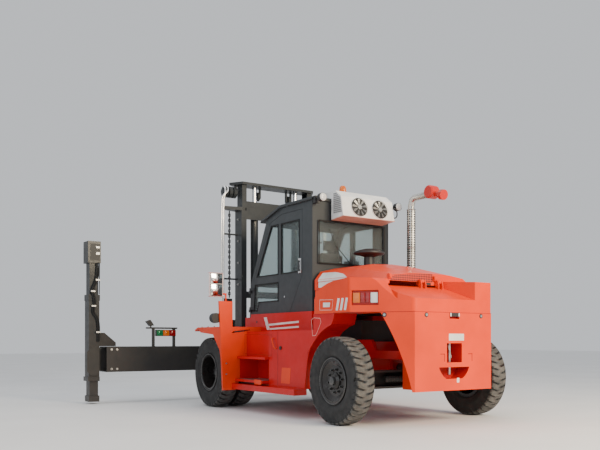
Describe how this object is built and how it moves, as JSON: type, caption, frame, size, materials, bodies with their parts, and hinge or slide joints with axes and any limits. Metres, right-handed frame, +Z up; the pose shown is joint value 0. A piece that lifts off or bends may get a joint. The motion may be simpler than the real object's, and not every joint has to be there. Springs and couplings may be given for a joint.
{
  "type": "empty container handler",
  "caption": "Heavy counterbalanced truck with a two-stage mast and a telescopic side spreader for empty containers.",
  "frame": {"origin": "on the ground under the middle of the machine's length and width", "axes": "+X forwards towards the spreader, +Y to the driver's left, +Z up"},
  "size_m": [6.826, 6.116, 4.085],
  "materials": {
    "orange_paint": "gloss enamel",
    "red_paint": "gloss enamel",
    "grey_paint": "satin",
    "black_paint": "satin",
    "chrome_rod": "polished",
    "stainless": "brushed",
    "tyre_rubber": "matt",
    "cast_weight": "painted",
    "iron": "painted",
    "pane": "clear",
    "lens": "clear lenses",
    "seat_cover": "matt",
    "black_plastic": "moulded",
    "white_plastic": "moulded"
  },
  "bodies": {
    "chassis": {"chassis_frame": "red_paint", "drive_axle": "black_paint", "rear_axle": "black_paint", "steering_cylinder": "black_paint", "engine": "iron", "counterweight": "cast_weight", "rear_body": "orange_paint", "cab_sill": "red_paint", "side_tank_left": "red_paint", "side_tank_right": "red_paint", "steps": "red_paint", "mudguards": "orange_paint", "cab_shell": "grey_paint", "cab_glass": "pane", "seat": "seat_cover", "console": "black_plastic", "steering_wheel": "black_plastic", "air_conditioner": "white_plastic", "exhaust": "stainless", "mirrors": "chrome_rod", "lamps": "black_plastic", "tail_lamps": "lens"},
    "hood": {"engine_hood": "orange_paint"},
    "mast": {"mast_outer": "black_paint", "lift_cylinders": "black_paint"},
    "inner_mast": {"mast_inner": "black_paint", "lift_rods": "chrome_rod", "lift_chains": "black_paint", "hose_sheaves": "black_paint"},
    "carriage": {"carriage": "grey_paint", "spreader_frame": "grey_paint", "spreader_lamps": "lens"},
    "front_wheel_left": {"front_tyres_left": "tyre_rubber", "front_rims_left": "iron"},
    "rear_wheel_left": {"rear_tyre_left": "tyre_rubber", "rear_rim_left": "iron"},
    "knuckle_left": {"knuckle_left": "iron"},
    "door_left": {"door_left": "grey_paint", "door_glass_left": "pane"},
    "tilt_barrel_left": {"tilt_barrel_left": "black_paint"},
    "tilt_rod_left": {"tilt_rod_left": "chrome_rod"},
    "arm_left": {"arm_left": "grey_paint", "post_left": "grey_paint"},
    "front_wheel_right": {"front_tyres_right": "tyre_rubber", "front_rims_right": "iron"},
    "rear_wheel_right": {"rear_tyre_right": "tyre_rubber", "rear_rim_right": "iron"},
    "knuckle_right": {"knuckle_right": "iron"},
    "door_right": {"door_right": "grey_paint", "door_glass_right": "pane"},
    "tilt_barrel_right": {"tilt_barrel_right": "black_paint"},
    "tilt_rod_right": {"tilt_rod_right": "chrome_rod"},
    "arm_right": {"arm_right": "grey_paint", "post_right": "grey_paint"}
  },
  "joints": [
    {"name": "mast_tilt", "type": "hinge", "parent": "chassis", "child": "mast", "pos_m": [1.333, 0, 0.611], "axis": [0, 1, 0], "range_deg": [-10, 6]},
    {"name": "mast_lift", "type": "slide", "parent": "mast", "child": "inner_mast", "axis": [0, 0, 1], "range_m": [0, 2.25]},
    {"name": "carriage_lift", "type": "slide", "parent": "inner_mast", "child": "carriage", "axis": [0, 0, 1], "range_m": [0, 2.25]},
    {"name": "hood_lift", "type": "hinge", "parent": "chassis", "child": "hood", "pos_m": [-2.931, 0, 2.01], "axis": [0, -1, 0], "range_deg": [0, 55]},
    {"name": "front_wheel_left_spin", "type": "hinge", "parent": "chassis", "child": "front_wheel_left", "pos_m": [1.333, 1.16, 0.611], "axis": [0, 1, 0], "continuous": true},
    {"name": "steer_left", "type": "hinge", "parent": "chassis", "child": "knuckle_left", "pos_m": [-2.467, 1.01, 0.611], "axis": [0, 0, 1], "range_deg": [-60, 60]},
    {"name": "rear_wheel_left_spin", "type": "hinge", "parent": "knuckle_left", "child": "rear_wheel_left", "pos_m": [-2.467, 1.254, 0.611], "axis": [0, 1, 0], "continuous": true},
    {"name": "door_left_swing", "type": "hinge", "parent": "chassis", "child": "door_left", "pos_m": [1.113, 0.787, 1.742], "axis": [0, 0, -1], "range_deg": [0, 50]},
    {"name": "arm_left_slide", "type": "slide", "parent": "carriage", "child": "arm_left", "axis": [0, 1, 0], "range_m": [0, 3.05]},
    {"name": "tilt_barrel_left_swing", "type": "hinge", "parent": "chassis", "child": "tilt_barrel_left", "pos_m": [0.183, 0.722, 1.18], "axis": [0, 1, 0], "range_deg": [-2, 2]},
    {"name": "tilt_rod_left_slide", "type": "slide", "parent": "tilt_barrel_left", "child": "tilt_rod_left", "axis": [0.9926, 0, 0.1211], "range_m": [-0.14, 0.09]},
    {"name": "front_wheel_right_spin", "type": "hinge", "parent": "chassis", "child": "front_wheel_right", "pos_m": [1.333, -1.16, 0.611], "axis": [0, 1, 0], "continuous": true},
    {"name": "steer_right", "type": "hinge", "parent": "chassis", "child": "knuckle_right", "pos_m": [-2.467, -1.01, 0.611], "axis": [0, 0, 1], "range_deg": [-60, 60]},
    {"name": "rear_wheel_right_spin", "type": "hinge", "parent": "knuckle_right", "child": "rear_wheel_right", "pos_m": [-2.467, -1.254, 0.611], "axis": [0, 1, 0], "continuous": true},
    {"name": "door_right_swing", "type": "hinge", "parent": "chassis", "child": "door_right", "pos_m": [1.113, -0.787, 1.742], "axis": [0, 0, 1], "range_deg": [0, 50]},
    {"name": "arm_right_slide", "type": "slide", "parent": "carriage", "child": "arm_right", "axis": [0, -1, 0], "range_m": [0, 3.05]},
    {"name": "tilt_barrel_right_swing", "type": "hinge", "parent": "chassis", "child": "tilt_barrel_right", "pos_m": [0.183, -0.722, 1.18], "axis": [0, 1, 0], "range_deg": [-2, 2]},
    {"name": "tilt_rod_right_slide", "type": "slide", "parent": "tilt_barrel_right", "child": "tilt_rod_right", "axis": [0.9926, 0, 0.1211], "range_m": [-0.14, 0.09]}
  ],
  "couplings": [
    {"joint": "carriage_lift", "follows": "mast_lift", "ratio": 1},
    {"joint": "tilt_barrel_left_swing", "follows": "mast_tilt", "ratio": 0.11251},
    {"joint": "tilt_rod_left_slide", "follows": "mast_tilt", "m_per_rad": 0.70947},
    {"joint": "tilt_barrel_right_swing", "follows": "mast_tilt", "ratio": 0.11251},
    {"joint": "tilt_rod_right_slide", "follows": "mast_tilt", "m_per_rad": 0.70947},
    {"joint": "steer_right", "follows": "steer_left", "ratio": 1},
    {"joint": "arm_right_slide", "follows": "arm_left_slide", "ratio": 1}
  ]
}
